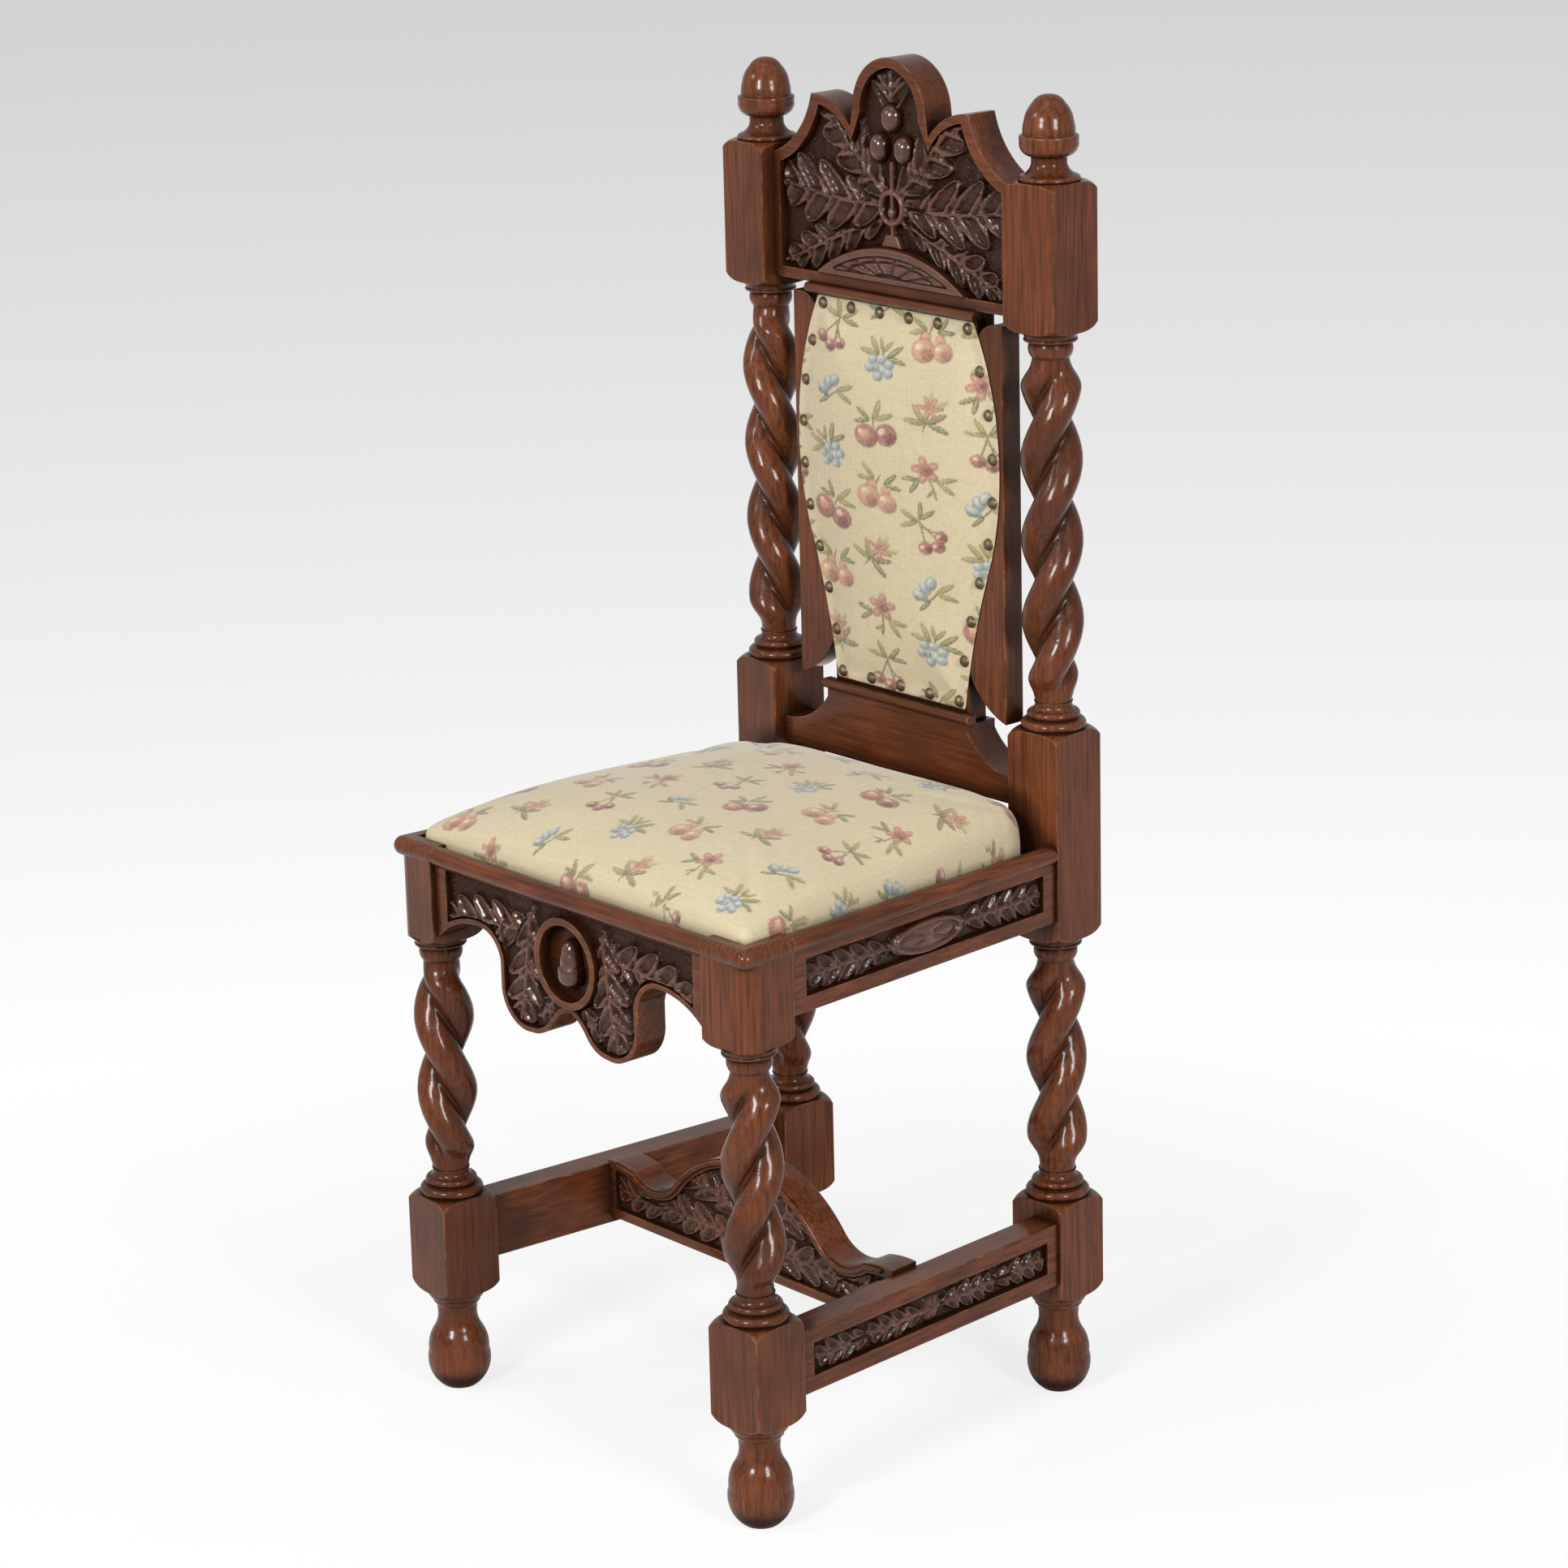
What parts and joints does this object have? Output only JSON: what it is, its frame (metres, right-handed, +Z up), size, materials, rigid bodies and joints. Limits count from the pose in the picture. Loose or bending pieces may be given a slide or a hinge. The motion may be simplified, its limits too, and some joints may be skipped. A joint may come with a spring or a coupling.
{
  "type": "upholstered_side_chair",
  "caption": "Carved oak side chair with twist-turned legs and posts, arched crest, nailed back panel and a drop-in seat in sprigged fabric",
  "frame": {"origin": "centre of the chair's plan on the floor", "axes": "+Z up, front of the chair towards -Y, +X to the right as seen from the front"},
  "size_m": [0.4358, 0.4048, 1.08],
  "materials": {
    "oak": "stained, waxed",
    "beech": "raw",
    "fabric": "woven",
    "stuffing": "fibrous",
    "webbing": "woven",
    "nail_brass": "aged",
    "steel": "dull"
  },
  "bodies": {
    "frame": {"front_leg_right": "oak", "front_leg_left": "oak", "rear_post_right": "oak", "rear_post_left": "oak", "finial_right": "oak", "finial_left": "oak", "front_seat_rail": "oak", "apron_acorn": "oak", "side_seat_rail_right": "oak", "side_seat_rail_left": "oak", "rear_seat_rail": "oak", "rear_seat_bearer": "oak", "front_corner_brace_right": "oak", "front_corner_brace_left": "oak", "rear_corner_brace_right": "oak", "rear_corner_brace_left": "oak", "brace_screws": "steel", "bearer_screws": "steel", "side_stretcher_right": "oak", "side_stretcher_left": "oak", "cross_stretcher": "oak", "crest_rail": "oak", "crest_berries": "oak", "crest_bead": "oak", "lower_back_rail": "oak", "lower_back_bead": "oak", "back_board": "oak", "back_stuffing": "stuffing", "back_cover": "fabric", "back_nails": "nail_brass"},
    "drop_in_seat": {"seat_frame_front": "beech", "seat_frame_back": "beech", "seat_frame_side_right": "beech", "seat_frame_side_left": "beech", "seat_webbing_long": "webbing", "seat_webbing_cross": "webbing", "webbing_tacks": "steel", "seat_base_cloth": "webbing", "seat_stuffing": "stuffing", "seat_cover": "fabric"}
  },
  "joints": [
    {"name": "seat_lift", "type": "slide", "parent": "frame", "child": "drop_in_seat", "axis": [0, 0, 1], "range_m": [0, 0.1]}
  ]
}
